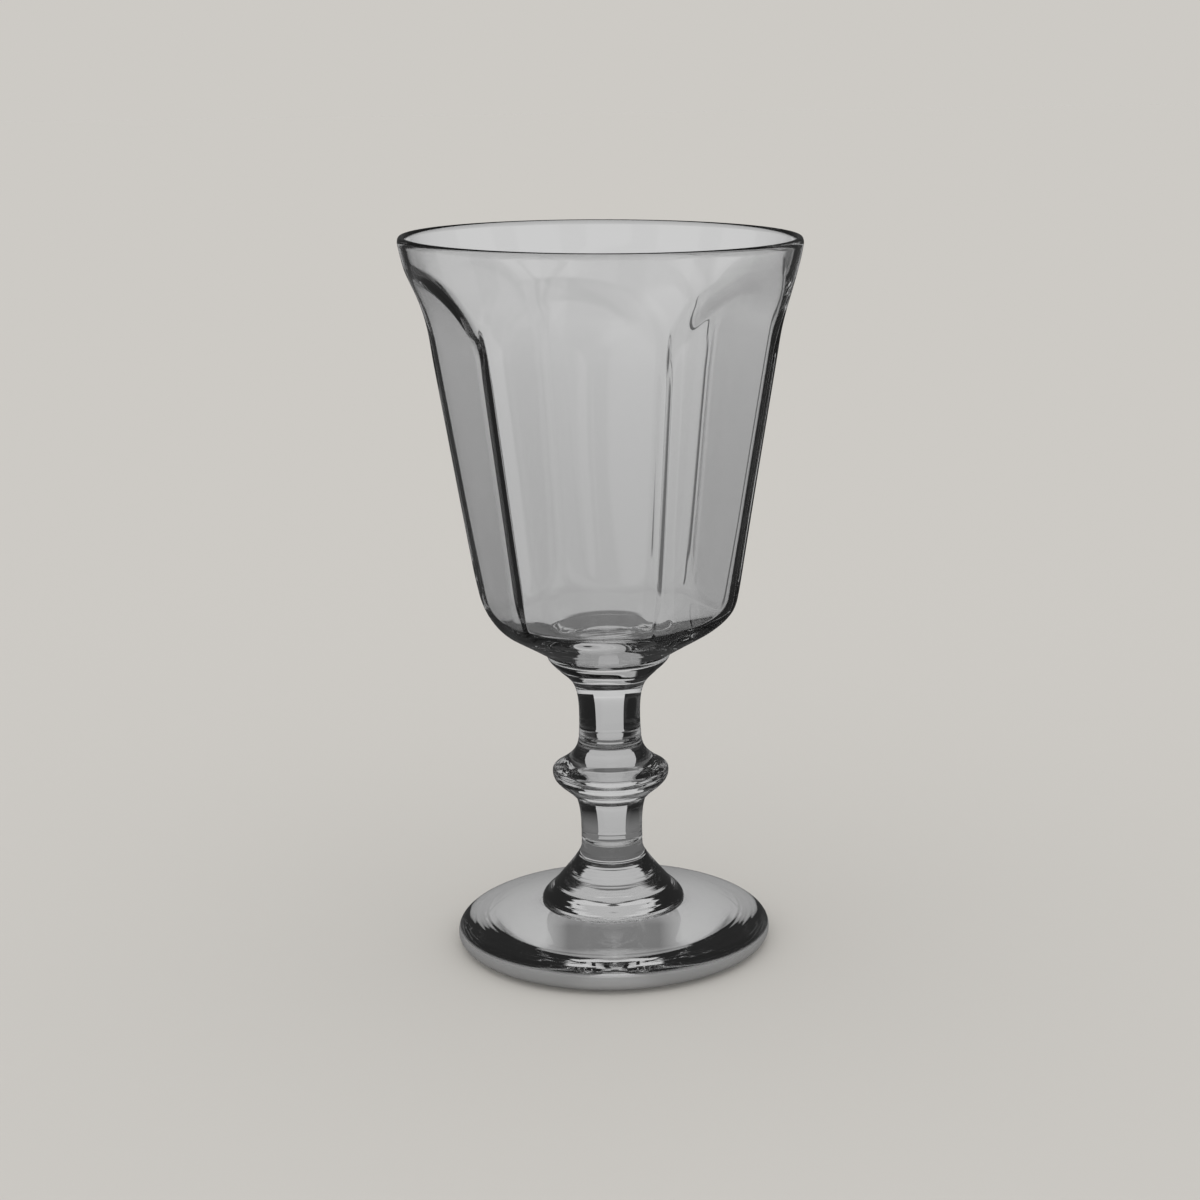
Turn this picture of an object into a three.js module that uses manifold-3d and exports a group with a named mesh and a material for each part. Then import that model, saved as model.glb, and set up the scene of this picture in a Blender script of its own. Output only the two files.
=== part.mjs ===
// A stemmed drinking goblet in clear glass: seven gathers of glass stuck together hot along one axis.
// Units are millimetres, +Z is up, and the origin is the centre of the surface that the foot stands on.
// One of the bowl's panels faces -Y.
import * as THREE from "three";
import { mergeVertices } from "three/addons/utils/BufferGeometryUtils.js";
import Module from "manifold-3d";

// Foot: a thick disc with a broadly rounded edge, a sloping top and a conical hollow underneath
const FOOT_RADIUS = 35.6;
const FOOT_HEIGHT = 9.0;
const FOOT_BELLY_HEIGHT = 2.4;
const FOOT_EDGE_RISE = 4.6;
const FOOT_EDGE_ROUND = 9.0;
const FOOT_UNDERCUT = 5.2;
const REST_RING_WIDTH = 5.9;
const KICK_DEPTH = 3.6;

// Stem base: a bell with a full round skirt that spreads onto the foot
const BASE_HEIGHT = 14.5;
const SKIRT_RADIUS = 16.2;
const SKIRT_SPREAD = 3.4;
const SKIRT_EDGE = 0.4;
const BELL_SHOULDER_HEIGHT = 4.7;

// Lower stem: a short shank that widens a little to each joint
const LOWER_STEM_LENGTH = 10.0;
const LOWER_STEM_RADIUS = 6.85;
const LOWER_STEM_FOOT_SPREAD = 0.1;
const LOWER_STEM_HEAD_SPREAD = 1.0;

// Knop: a wide bead with a hollow slope above it
const KNOP_HEIGHT = 14.3;
const KNOP_RADIUS = 13.1;
const KNOP_BELLY_HEIGHT = 6.5;
const KNOP_SHOULDER_RISE = 1.0;
const KNOP_SHOULDER_ROUND = 0.4;

// Upper stem: a shank that flares under the collar
const UPPER_STEM_LENGTH = 16.2;
const UPPER_STEM_RADIUS = 6.88;
const UPPER_STEM_FOOT_SPREAD = 0.22;
const UPPER_STEM_WAIST_HEIGHT = 5.2;

// Merese: the thin collar between the stem and the bowl
const MERESE_HEIGHT = 3.4;
const MERESE_RADIUS = 13.75;
const MERESE_TAPER = 2.35;
const MERESE_EDGE = 0.5;

// Bowl: a round flared blank with flat panels that end in arches under the rim
const BOWL_HEIGHT = 92.6;
const RIM_RADIUS = 43.55;
const LIP_THICKNESS = 1.7;
const LIP_HEIGHT = 1.4;
const FLARE_HEIGHT = 23.0;
const FLARE_SPREAD = 5.15;
const WALL_FOOT_HEIGHT = 13.1;
const WALL_FOOT_RADIUS = 29.3;
const PANEL_COUNT = 6;
const RIDGE_WIDTH = 2.2;
const COVE_BELOW_RIM = 24.0;
const COVE_RADIUS = 28.5;
const COVE_SWEEP_DEGREES = 54;
const WALL_AT_PANEL = 1.7;
const WALL_AT_RIDGE = 1.9;
const FLOOR_THICKNESS = 7.1;
const FLOOR_FLAT_RADIUS = 11.0;
const FLOOR_EDGE_RISE = 0.6;
const FLOOR_ROUND_HEIGHT = 6.5;

// Fineness of the round surfaces
const BOWL_SEGMENTS = 60;
const FOOT_SEGMENTS = 48;
const STEM_SEGMENTS = 36;
const CURVE_STEPS = 6;
const COVE_STEPS = 6;

// Radii of the fused joints, each shared by the two pieces that meet there
const LOWER_STEM_FOOT_RADIUS = LOWER_STEM_RADIUS + LOWER_STEM_FOOT_SPREAD;
const LOWER_STEM_HEAD_RADIUS = LOWER_STEM_RADIUS + LOWER_STEM_HEAD_SPREAD;
const UPPER_STEM_FOOT_RADIUS = UPPER_STEM_RADIUS + UPPER_STEM_FOOT_SPREAD;
const UPPER_STEM_HEAD_RADIUS = MERESE_RADIUS - MERESE_TAPER;

// Heights of the fused joints above the standing surface
const BASE_Z = FOOT_HEIGHT;
const LOWER_STEM_Z = BASE_Z + BASE_HEIGHT;
const KNOP_Z = LOWER_STEM_Z + LOWER_STEM_LENGTH;
const UPPER_STEM_Z = KNOP_Z + KNOP_HEIGHT;
const MERESE_Z = UPPER_STEM_Z + UPPER_STEM_LENGTH;
const BOWL_Z = MERESE_Z + MERESE_HEIGHT;

// How far a cutting shape reaches past what it cuts
const CUT_CLEAR = 5;

const wasm = await Module();
wasm.setup();

// A profile is drawn as radius against height, from the axis below to the axis above, and turned about Z.
function revolve(profile, segments) {
  const outline = profile.getPoints(CURVE_STEPS);
  return new THREE.LatheGeometry(outline, segments).rotateX(Math.PI / 2);
}

function toSolid(geometry) {
  const bare = geometry.clone();
  bare.deleteAttribute("normal");
  bare.deleteAttribute("uv");
  const merged = mergeVertices(bare);
  const vertProperties = new Float32Array(merged.attributes.position.array);
  const triVerts = new Uint32Array(merged.index.array);
  return new wasm.Manifold(new wasm.Mesh({ numProp: 3, vertProperties, triVerts }));
}

function toGeometry(solid) {
  const { vertProperties, triVerts } = solid.getMesh();
  const geometry = new THREE.BufferGeometry();
  geometry.setAttribute("position", new THREE.BufferAttribute(vertProperties, 3));
  geometry.setIndex(new THREE.BufferAttribute(triVerts, 1));
  geometry.computeVertexNormals();
  return geometry;
}

// In each outline the fractions are how far a curve's handles reach along the stretch that it crosses.
function footGeometry() {
  const topRadius = FOOT_RADIUS - FOOT_EDGE_ROUND;
  const topHeight = FOOT_BELLY_HEIGHT + FOOT_EDGE_RISE;
  const topSlope = (FOOT_HEIGHT - topHeight) / (topRadius - SKIRT_RADIUS);
  const restOuter = FOOT_RADIUS - FOOT_UNDERCUT;
  const restInner = restOuter - REST_RING_WIDTH;
  const profile = new THREE.Path();
  profile.moveTo(0, KICK_DEPTH);
  profile.lineTo(restInner, 0);
  profile.lineTo(restOuter, 0);
  profile.bezierCurveTo(
    restOuter + 0.6 * FOOT_UNDERCUT, 0,
    FOOT_RADIUS, 0.4 * FOOT_BELLY_HEIGHT,
    FOOT_RADIUS, FOOT_BELLY_HEIGHT,
  );
  profile.bezierCurveTo(
    FOOT_RADIUS, FOOT_BELLY_HEIGHT + 0.6 * FOOT_EDGE_RISE,
    topRadius + 0.6 * FOOT_EDGE_ROUND, topHeight - 0.6 * FOOT_EDGE_ROUND * topSlope,
    topRadius, topHeight,
  );
  profile.lineTo(SKIRT_RADIUS, FOOT_HEIGHT);
  profile.lineTo(0, FOOT_HEIGHT);
  return revolve(profile, FOOT_SEGMENTS);
}

function stemBaseGeometry() {
  const shoulderRadius = SKIRT_RADIUS - SKIRT_SPREAD;
  const flank = BASE_HEIGHT - BELL_SHOULDER_HEIGHT;
  const profile = new THREE.Path();
  profile.moveTo(0, 0);
  profile.lineTo(SKIRT_RADIUS, 0);
  profile.lineTo(SKIRT_RADIUS, SKIRT_EDGE);
  profile.bezierCurveTo(
    SKIRT_RADIUS, 0.45 * BELL_SHOULDER_HEIGHT,
    shoulderRadius + 0.25 * SKIRT_SPREAD, 0.75 * BELL_SHOULDER_HEIGHT,
    shoulderRadius, BELL_SHOULDER_HEIGHT,
  );
  profile.bezierCurveTo(
    LOWER_STEM_RADIUS, BELL_SHOULDER_HEIGHT + 0.72 * flank,
    LOWER_STEM_RADIUS, BELL_SHOULDER_HEIGHT + 0.78 * flank,
    LOWER_STEM_FOOT_RADIUS, BASE_HEIGHT,
  );
  profile.lineTo(0, BASE_HEIGHT);
  return revolve(profile, STEM_SEGMENTS);
}

function lowerStemGeometry() {
  const profile = new THREE.Path();
  profile.moveTo(0, 0);
  profile.lineTo(LOWER_STEM_FOOT_RADIUS, 0);
  profile.bezierCurveTo(
    LOWER_STEM_RADIUS, 0.3 * LOWER_STEM_LENGTH,
    LOWER_STEM_RADIUS, 0.75 * LOWER_STEM_LENGTH,
    LOWER_STEM_HEAD_RADIUS, LOWER_STEM_LENGTH,
  );
  profile.lineTo(0, LOWER_STEM_LENGTH);
  return revolve(profile, STEM_SEGMENTS);
}

function knopGeometry() {
  const shoulderHeight = KNOP_BELLY_HEIGHT + KNOP_SHOULDER_RISE;
  const shoulderRadius = KNOP_RADIUS - KNOP_SHOULDER_ROUND;
  const slope = KNOP_HEIGHT - shoulderHeight;
  const underReach = KNOP_RADIUS - LOWER_STEM_HEAD_RADIUS;
  const topReach = shoulderRadius - UPPER_STEM_FOOT_RADIUS;
  const profile = new THREE.Path();
  profile.moveTo(0, 0);
  profile.lineTo(LOWER_STEM_HEAD_RADIUS, 0);
  profile.bezierCurveTo(
    LOWER_STEM_HEAD_RADIUS + 0.42 * underReach, 0.45 * KNOP_BELLY_HEIGHT,
    KNOP_RADIUS, 0.55 * KNOP_BELLY_HEIGHT,
    KNOP_RADIUS, KNOP_BELLY_HEIGHT,
  );
  profile.quadraticCurveTo(
    KNOP_RADIUS, KNOP_BELLY_HEIGHT + 0.7 * KNOP_SHOULDER_RISE,
    shoulderRadius, shoulderHeight,
  );
  profile.bezierCurveTo(
    UPPER_STEM_FOOT_RADIUS + 0.12 * topReach, shoulderHeight + 0.42 * slope,
    UPPER_STEM_FOOT_RADIUS + 0.04 * topReach, shoulderHeight + 0.7 * slope,
    UPPER_STEM_FOOT_RADIUS, KNOP_HEIGHT,
  );
  profile.lineTo(0, KNOP_HEIGHT);
  return revolve(profile, STEM_SEGMENTS);
}

function upperStemGeometry() {
  const flare = UPPER_STEM_LENGTH - UPPER_STEM_WAIST_HEIGHT;
  const reach = UPPER_STEM_HEAD_RADIUS - UPPER_STEM_RADIUS;
  const profile = new THREE.Path();
  profile.moveTo(0, 0);
  profile.lineTo(UPPER_STEM_FOOT_RADIUS, 0);
  profile.quadraticCurveTo(
    UPPER_STEM_RADIUS, 0.4 * UPPER_STEM_WAIST_HEIGHT,
    UPPER_STEM_RADIUS, UPPER_STEM_WAIST_HEIGHT,
  );
  profile.bezierCurveTo(
    UPPER_STEM_RADIUS, UPPER_STEM_WAIST_HEIGHT + 0.72 * flare,
    UPPER_STEM_RADIUS + 0.38 * reach, UPPER_STEM_WAIST_HEIGHT + 0.76 * flare,
    UPPER_STEM_HEAD_RADIUS, UPPER_STEM_LENGTH,
  );
  profile.lineTo(0, UPPER_STEM_LENGTH);
  return revolve(profile, STEM_SEGMENTS);
}

function mereseGeometry() {
  const edgeStart = MERESE_HEIGHT - MERESE_EDGE;
  const profile = new THREE.Path();
  profile.moveTo(0, 0);
  profile.lineTo(UPPER_STEM_HEAD_RADIUS, 0);
  profile.quadraticCurveTo(MERESE_RADIUS, 0.75 * edgeStart, MERESE_RADIUS, edgeStart);
  profile.lineTo(MERESE_RADIUS, MERESE_HEIGHT);
  profile.lineTo(0, MERESE_HEIGHT);
  return revolve(profile, STEM_SEGMENTS);
}

// Heights inside the bowl are measured from its own joint with the merese.
const FLARE_Z = BOWL_HEIGHT - FLARE_HEIGHT;
const FLARE_START_RADIUS = RIM_RADIUS - FLARE_SPREAD;
const LIP_Z = BOWL_HEIGHT - LIP_HEIGHT;
const WALL_LEAN = (FLARE_START_RADIUS - WALL_FOOT_RADIUS) / (FLARE_Z - WALL_FOOT_HEIGHT);

// The straight wall bends out to the rim: the same curve serves the outside and, moved in, the inside.
function drawFlare(profile, startRadius, endRadius) {
  const rise = LIP_Z - FLARE_Z;
  profile.bezierCurveTo(
    startRadius + 0.42 * rise * WALL_LEAN, FLARE_Z + 0.42 * rise,
    endRadius - 0.32 * rise * WALL_LEAN, LIP_Z - 0.32 * rise,
    endRadius, LIP_Z,
  );
}

function bowlBlank() {
  const lipRadius = RIM_RADIUS - LIP_THICKNESS / 2;
  const turnReach = WALL_FOOT_RADIUS - MERESE_RADIUS;
  const profile = new THREE.Path();
  profile.moveTo(0, 0);
  profile.lineTo(MERESE_RADIUS, 0);
  profile.bezierCurveTo(
    MERESE_RADIUS + 0.62 * turnReach, 0.47 * WALL_FOOT_HEIGHT,
    WALL_FOOT_RADIUS - 0.44 * WALL_FOOT_HEIGHT * WALL_LEAN, 0.56 * WALL_FOOT_HEIGHT,
    WALL_FOOT_RADIUS, WALL_FOOT_HEIGHT,
  );
  profile.lineTo(FLARE_START_RADIUS, FLARE_Z);
  drawFlare(profile, FLARE_START_RADIUS, RIM_RADIUS);
  profile.quadraticCurveTo(RIM_RADIUS, BOWL_HEIGHT, lipRadius, BOWL_HEIGHT);
  profile.lineTo(0, BOWL_HEIGHT);
  return toSolid(revolve(profile, BOWL_SEGMENTS));
}

function bowlHollow() {
  const lipRadius = RIM_RADIUS - LIP_THICKNESS / 2;
  const mouthRadius = RIM_RADIUS - LIP_THICKNESS;
  const wallZ = FLOOR_THICKNESS + FLOOR_ROUND_HEIGHT;
  const wallRadius = WALL_FOOT_RADIUS - WALL_AT_RIDGE + (wallZ - WALL_FOOT_HEIGHT) * WALL_LEAN;
  const profile = new THREE.Path();
  profile.moveTo(0, FLOOR_THICKNESS);
  profile.lineTo(FLOOR_FLAT_RADIUS, FLOOR_THICKNESS);
  profile.bezierCurveTo(
    FLOOR_FLAT_RADIUS + 0.7 * (wallRadius - FLOOR_FLAT_RADIUS), FLOOR_THICKNESS + FLOOR_EDGE_RISE,
    wallRadius - 0.8 * FLOOR_ROUND_HEIGHT * WALL_LEAN, wallZ - 0.8 * FLOOR_ROUND_HEIGHT,
    wallRadius, wallZ,
  );
  profile.lineTo(FLARE_START_RADIUS - WALL_AT_RIDGE, FLARE_Z);
  drawFlare(profile, FLARE_START_RADIUS - WALL_AT_RIDGE, mouthRadius);
  profile.quadraticCurveTo(mouthRadius, BOWL_HEIGHT, lipRadius, BOWL_HEIGHT);
  profile.lineTo(lipRadius, BOWL_HEIGHT + CUT_CLEAR);
  profile.lineTo(0, BOWL_HEIGHT + CUT_CLEAR);
  return toSolid(revolve(profile, BOWL_SEGMENTS));
}

// Distance from the axis to a flat panel that leaves a round ridge of RIDGE_WIDTH on a blank of this radius.
function panelDistance(radius) {
  const halfPanel = Math.PI / PANEL_COUNT - Math.asin(RIDGE_WIDTH / 2 / radius);
  return radius * Math.cos(halfPanel);
}

// The outside of one panel as a prism: a leaning flat that sweeps out through a cove under the rim.
// A depth moves the face in square to itself, which gives the panel's inside.
function panelCutter(depth) {
  const low = panelDistance(WALL_FOOT_RADIUS);
  const high = panelDistance(FLARE_START_RADIUS);
  const lean = (high - low) / (FLARE_Z - WALL_FOOT_HEIGHT);
  const tilt = Math.atan(lean);
  const coveZ = BOWL_HEIGHT - COVE_BELOW_RIM;
  const coveDistance = low + lean * (coveZ - WALL_FOOT_HEIGHT);
  const centreDistance = coveDistance + COVE_RADIUS * Math.cos(tilt);
  const centreZ = coveZ - COVE_RADIUS * Math.sin(tilt);
  const radius = COVE_RADIUS + depth;
  const sweep = THREE.MathUtils.degToRad(COVE_SWEEP_DEGREES);
  const shape = new THREE.Shape();
  const startDistance = centreDistance - radius * Math.cos(tilt);
  const startZ = centreZ + radius * Math.sin(tilt);
  const far = RIM_RADIUS + COVE_RADIUS + CUT_CLEAR;
  shape.moveTo(startDistance - lean * (startZ + CUT_CLEAR), -CUT_CLEAR);
  shape.lineTo(startDistance, startZ);
  shape.absarc(centreDistance, centreZ, radius, Math.PI - tilt, Math.PI - tilt - sweep, true);
  shape.lineTo(far, centreZ + radius * Math.sin(tilt + sweep));
  shape.lineTo(far, -CUT_CLEAR);
  const width = 2 * RIM_RADIUS;
  const options = { depth: width, bevelEnabled: false, curveSegments: COVE_STEPS, steps: 1 };
  const prism = new THREE.ExtrudeGeometry(shape, options).translate(0, 0, -width / 2);
  const outward = new THREE.Vector3(0, -1, 0);
  const up = new THREE.Vector3(0, 0, 1);
  const along = new THREE.Vector3().crossVectors(outward, up);
  return prism.applyMatrix4(new THREE.Matrix4().makeBasis(outward, up, along));
}

function cutPanels(solid, depth) {
  let cut = solid;
  for (let i = 0; i < PANEL_COUNT; i++) {
    const cutter = panelCutter(depth).rotateZ((2 * Math.PI * i) / PANEL_COUNT);
    cut = cut.subtract(toSolid(cutter));
  }
  return cut;
}

function bowlGeometry() {
  const outside = cutPanels(bowlBlank(), 0);
  const inside = cutPanels(bowlHollow(), WALL_AT_PANEL);
  return toGeometry(outside.subtract(inside));
}

// Every piece is the same clear glass with a faint grey cast and a fire-polished skin.
function clearGlass() {
  return new THREE.MeshStandardMaterial({
    color: 0xd3d6d5,
    roughness: 0.04,
    metalness: 0,
    transparent: true,
    opacity: 0.4,
  });
}

function piece(name, geometry, height) {
  const mesh = new THREE.Mesh(geometry, clearGlass());
  mesh.name = name;
  mesh.position.z = height;
  return mesh;
}

const foot = piece("foot", footGeometry(), 0);
const stem = new THREE.Group();
stem.add(piece("stem_base", stemBaseGeometry(), BASE_Z));
stem.add(piece("lower_stem", lowerStemGeometry(), LOWER_STEM_Z));
stem.add(piece("knop", knopGeometry(), KNOP_Z));
stem.add(piece("upper_stem", upperStemGeometry(), UPPER_STEM_Z));
stem.add(piece("merese", mereseGeometry(), MERESE_Z));
const bowl = piece("bowl", bowlGeometry(), BOWL_Z);

const goblet = new THREE.Group();
goblet.add(foot);
goblet.add(stem);
goblet.add(bowl);

export default goblet;
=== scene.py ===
import math

import bpy
import numpy as np
from mathutils import Matrix, Vector


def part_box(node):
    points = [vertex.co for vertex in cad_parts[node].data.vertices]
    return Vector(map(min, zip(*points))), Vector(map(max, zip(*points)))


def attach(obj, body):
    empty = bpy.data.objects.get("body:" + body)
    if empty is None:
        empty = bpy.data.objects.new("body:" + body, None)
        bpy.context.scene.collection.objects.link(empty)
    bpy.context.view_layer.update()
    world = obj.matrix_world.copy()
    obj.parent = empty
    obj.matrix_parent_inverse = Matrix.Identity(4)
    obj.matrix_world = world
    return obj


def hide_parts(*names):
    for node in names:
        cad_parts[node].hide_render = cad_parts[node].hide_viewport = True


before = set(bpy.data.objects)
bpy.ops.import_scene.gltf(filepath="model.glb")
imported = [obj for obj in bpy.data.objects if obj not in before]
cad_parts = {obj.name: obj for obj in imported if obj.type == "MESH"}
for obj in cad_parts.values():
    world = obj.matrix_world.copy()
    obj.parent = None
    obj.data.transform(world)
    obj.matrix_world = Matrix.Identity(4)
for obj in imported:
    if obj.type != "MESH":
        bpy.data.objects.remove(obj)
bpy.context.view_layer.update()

# A glass goblet's finished surfaces, its glass, and the studio around it.
# Each piece is a closed surface of rings about the stem's axis, worked out in millimetres.
# The glass and the studio are in metres and degrees.
MM = 0.001


def span(node):
    """Lowest height, highest height and largest radius of a solid of the frame, in millimetres."""
    low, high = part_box(node)
    return low[2] / MM, high[2] / MM, high[0] / MM


_, foot_top, foot_radius = span("foot")
base_low, base_top, skirt_radius = span("stem_base")
shank_low, shank_top, shank_head_radius = span("lower_stem")
knop_low, knop_top, knop_radius = span("knop")
neck_low, neck_top, neck_head_radius = span("upper_stem")
merese_low, merese_top, merese_radius = span("merese")
bowl_low, bowl_top, rim_radius = span("bowl")

# Foot
FOOT_BELLY_HEIGHT = 2.4
FOOT_EDGE_RISE = 4.6
FOOT_EDGE_ROUND = 9.0
FOOT_UNDERCUT = 5.2
REST_RING_WIDTH = 5.9
KICK_DEPTH = 3.6
KICK_EDGE_FULLNESS = 0.6
KICK_FULLNESS = 2.2

# Stem
SKIRT_SPREAD = 3.4
SKIRT_EDGE = 0.4
BELL_SHOULDER_HEIGHT = 4.7
SHANK_RADIUS = 6.85
SHANK_FOOT_SPREAD = 0.1
KNOP_BELLY_HEIGHT = 6.5
KNOP_SHOULDER_RISE = 1.0
KNOP_SHOULDER_ROUND = 0.4
NECK_RADIUS = 6.88
NECK_FOOT_SPREAD = 0.22
NECK_WAIST_HEIGHT = 5.2
MERESE_EDGE = 0.5

# Bowl
LIP_THICKNESS = 1.7
LIP_HEIGHT = 1.4
FLARE_HEIGHT = 23.0
FLARE_SPREAD = 5.15
WALL_FOOT_HEIGHT = 13.1
WALL_FOOT_RADIUS = 29.3
PANELS = 6
RIDGE_WIDTH = 2.2
COVE_BELOW_RIM = 24.0
COVE_RADIUS = 28.5
WALL_AT_PANEL = 1.7
WALL_AT_RIDGE = 1.9
FLOOR_THICKNESS = 7.1
FLOOR_FLAT_RADIUS = 11.0
FLOOR_ROUND_HEIGHT = 6.5
FLOOR_EDGE_RISE = 0.6

# Pulls of the curves, each a share of the stretch that it shapes
FOOT_PULL = 0.6
SKIRT_PULLS = (0.45, 0.75)
FLANK_PULLS = (0.72, 0.78)
SHANK_PULLS = (0.3, 0.75)
KNOP_SWELL_PULLS = (0.42, 0.45, 0.55)
KNOP_SHOULDER_PULL = 0.7
KNOP_SLOPE_OUT_PULLS = (0.12, 0.04)
KNOP_SLOPE_UP_PULLS = (0.42, 0.7)
NECK_WAIST_PULL = 0.4
NECK_FLARE_PULLS = (0.72, 0.38, 0.76)
MERESE_PULL = 0.75
BOWL_TURN_PULLS = (0.62, 0.47, 0.56)
BOWL_FLARE_PULLS = (0.42, 0.32)
BOWL_FLOOR_PULLS = (0.8, 0.7)

# Softness of the ridges and arches, and the heights over which it changes
RIDGE_SOFT = 0.24
ARCH_SOFT = 2.2
INSIDE_SOFT = 1.6
FLOOR_SOFT = 2.0
ARCH_FADE = (-6.0, 12.0)
WALL_FOOT_FADE = (-6.0, 6.0)
FLOOR_FADE = (2.0, 26.0)

# Hand work: a rim that slants by some degrees, a section out of round, a wandering collar line, tool rings
# and welds. A wave is its count or rate, its size and its start. One out of round also twists with height.
RIM_SLANT = 1.1
RIM_SLANT_DEPTH = 34.0
ROUNDNESS_WAVES = ((2, 0.0016, 0.0, 0.05), (3, 0.0011, 1.0, -0.09))
COLLAR_REACH = 1.3
COLLAR_WAVES = ((3, 0.16, 0.7), (5, 0.09, 2.1))
TOOL_MARK = 0.007
TOOL_WAVES = ((8.1, 1.0, 0.0), (5.3, 0.8, 1.1), (13.7, 0.6, 0.4))
TOOL_FADE_IN = 1.5
TOOL_FADE_OUT = 1.0
EDGE_TOOL_FADE = 2.0
EDGE_TOOL_SPACING = 2.0
WELD_DEPTH = 0.1
WELD_WIDTH = 0.3
JOINT_GAP = 0.02

# Fineness
STEM_SEGMENTS = 192
PANEL_SEGMENTS = 56
PANEL_EVENNESS = 0.3
JOINT_RINGS = 5
CURVE_STEPS = 24
REST_RING_STEPS = 8
SKIRT_EDGE_STEPS = 4
KNOP_SHOULDER_STEPS = 14
MERESE_EDGE_STEPS = 6
BOWL_TURN_STEPS = 44
WALL_STEPS = 36
FLARE_STEPS = 66
LIP_STEPS = 10
INNER_FLARE_STEPS = 60
INNER_WALL_STEPS = 34
FLOOR_ROUND_STEPS = 32
FLOOR_STEPS = 8

# Glass: its ream, and marks where it was handled
GLASS_INDEX = 1.51
GLASS_TINT = 0.965
REAM_STRETCH = (1.0, 1.0, 0.45)
REAM_SCALE = 70.0
REAM_DETAIL = 1.0
REAM_STRENGTH = 0.04
REAM_HEIGHT = 0.0004
HANDLED_SCALE = 45.0
HANDLED_DETAIL = 3.0
HANDLED_RANGE = (0.45, 0.8)
HANDLED_DULLNESS = 0.03

# Ground band round the foot's edge: dull and less clear, and darkened with painted shade
GROUND_SHADE_TINT = 0.37
GROUND_CLEARNESS = 0.3
GROUND_DULLNESS = 0.6
BAND_TOP = (0.0030, 0.0038)
BAND_TILT = 0.024
BAND_INNER_RADIUS = (0.0335, 0.0343)


def new_material(name):
    """An empty node material with its output."""
    material = bpy.data.materials.new(name)
    material.use_nodes = True
    material.node_tree.nodes.clear()
    output = material.node_tree.nodes.new("ShaderNodeOutputMaterial")
    return material, material.node_tree, output


def grey(level):
    """Opaque grey of a level."""
    return (level, level, level, 1.0)


def feed(tree, socket, value):
    """A socket takes a plain number as its own value, and another socket by a link."""
    if isinstance(value, (int, float)):
        socket.default_value = value
    else:
        tree.links.new(value, socket)


def calc(tree, operation, *values):
    """Math node fed by sockets or plain numbers; gives its result."""
    node = tree.nodes.new("ShaderNodeMath")
    node.operation = operation
    for socket, value in zip(node.inputs, values):
        feed(tree, socket, value)
    return node.outputs["Value"]


def ramp(tree, value, low, high, at_low, at_high):
    """Straight ramp of a value from one number to another, held level outside its ends."""
    node = tree.nodes.new("ShaderNodeMapRange")
    tree.links.new(value, node.inputs["Value"])
    node.inputs["From Min"].default_value = low
    node.inputs["From Max"].default_value = high
    feed(tree, node.inputs["To Min"], at_low)
    feed(tree, node.inputs["To Max"], at_high)
    return node.outputs["Result"]


def rises(tree, value, edge):
    """0 before an edge and 1 after it, with a straight ramp between the edge's two numbers."""
    return ramp(tree, value, *edge, 0.0, 1.0)


def falls(tree, value, edge):
    """1 before an edge and 0 after it, with a straight ramp between the edge's two numbers."""
    return ramp(tree, value, *edge, 1.0, 0.0)


def fade(tree, factor, off, on):
    """Level that goes straight from off to on as the factor goes from 0 to 1."""
    return ramp(tree, factor, 0.0, 1.0, off, on)


def place_in(tree, space):
    """The three parts of the place that is shaded, or of the direction in the sky."""
    place = tree.nodes.new("ShaderNodeTexCoord")
    split = tree.nodes.new("ShaderNodeSeparateXYZ")
    tree.links.new(place.outputs[space], split.inputs["Vector"])
    return split.outputs["X"], split.outputs["Y"], split.outputs["Z"]


def from_axis(tree, x, y):
    """Distance from the stem's axis: the root of the sum of the squares."""
    return calc(tree, "SQRT", calc(tree, "ADD", calc(tree, "MULTIPLY", x, x), calc(tree, "MULTIPLY", y, y)))


def noise(tree, place, scale, detail):
    """Noise at a place; gives its level."""
    node = tree.nodes.new("ShaderNodeTexNoise")
    node.inputs["Scale"].default_value = scale
    node.inputs["Detail"].default_value = detail
    tree.links.new(place, node.inputs["Vector"])
    return node.outputs["Fac"]


def ream(tree, place):
    """Slow waves in the skin of the glass: a stretched noise, taken as a bump."""
    stretch = tree.nodes.new("ShaderNodeMapping")
    stretch.inputs["Scale"].default_value = REAM_STRETCH
    tree.links.new(place, stretch.inputs["Vector"])
    bump = tree.nodes.new("ShaderNodeBump")
    bump.inputs["Strength"].default_value = REAM_STRENGTH
    bump.inputs["Distance"].default_value = REAM_HEIGHT
    tree.links.new(noise(tree, stretch.outputs["Vector"], REAM_SCALE, REAM_DETAIL), bump.inputs["Height"])
    return bump.outputs["Normal"]


def ground_and_shade_band(tree):
    """1 on the frosted band round the foot's edge, which is darkened with painted shade, and 0 elsewhere,
    with soft edges.

    It is the product of lying low, lying far from the axis and being seen from outside. Its top edge tilts.
    """
    x, y, z = place_in(tree, "Object")
    level = calc(tree, "ADD", z, calc(tree, "MULTIPLY", y, BAND_TILT))
    far_out = rises(tree, from_axis(tree, x, y), BAND_INNER_RADIUS)
    edge = calc(tree, "MULTIPLY", falls(tree, level, BAND_TOP), far_out)
    side = tree.nodes.new("ShaderNodeNewGeometry")
    return calc(tree, "MULTIPLY", edge, calc(tree, "SUBTRACT", 1.0, side.outputs["Backfacing"]))


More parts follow.
